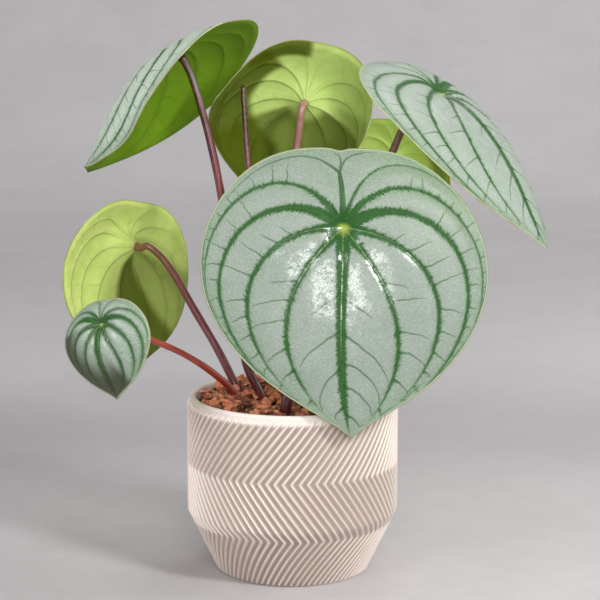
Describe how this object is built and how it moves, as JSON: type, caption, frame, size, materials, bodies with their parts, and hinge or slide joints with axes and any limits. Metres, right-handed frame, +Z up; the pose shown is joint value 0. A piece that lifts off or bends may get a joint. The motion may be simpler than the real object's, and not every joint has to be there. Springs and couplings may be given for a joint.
{
  "type": "potted peperomia",
  "caption": "Peperomia with silver, dark-veined round leaves on burgundy stalks, in a tapered ceramic pot with chevron ribs, bark mulch and potting mix",
  "frame": {"origin": "centre of the pot's flat underside, on the surface that it stands on", "axes": "+Z up along the pot's axis, -Y toward the side from which the large front leaf shows its face, +X right"},
  "size_m": [0.2123, 0.1129, 0.2462],
  "materials": {
    "glazed_pot": "satin",
    "potting_mix": "matte",
    "bark": "matte",
    "crown": "matte",
    "leaf_blade": "satin",
    "leaf_stalk": "satin",
    "flower_spike": "satin"
  },
  "bodies": {
    "root": {"pot": "glazed_pot", "potting_mix": "potting_mix", "bark_mulch": "bark", "crown_and_roots": "crown", "leaf_front": "leaf_blade", "leaf_upper_left": "leaf_blade", "leaf_centre_back": "leaf_blade", "leaf_upper_right": "leaf_blade", "leaf_back_right": "leaf_blade", "leaf_left": "leaf_blade", "leaf_small_front": "leaf_blade", "stalk_front": "leaf_stalk", "stalk_upper_left": "leaf_stalk", "stalk_centre_back": "leaf_stalk", "stalk_upper_right": "leaf_stalk", "stalk_back_right": "leaf_stalk", "stalk_left": "leaf_stalk", "stalk_small_front": "leaf_stalk", "flower_spike": "flower_spike"}
  },
  "joints": []
}
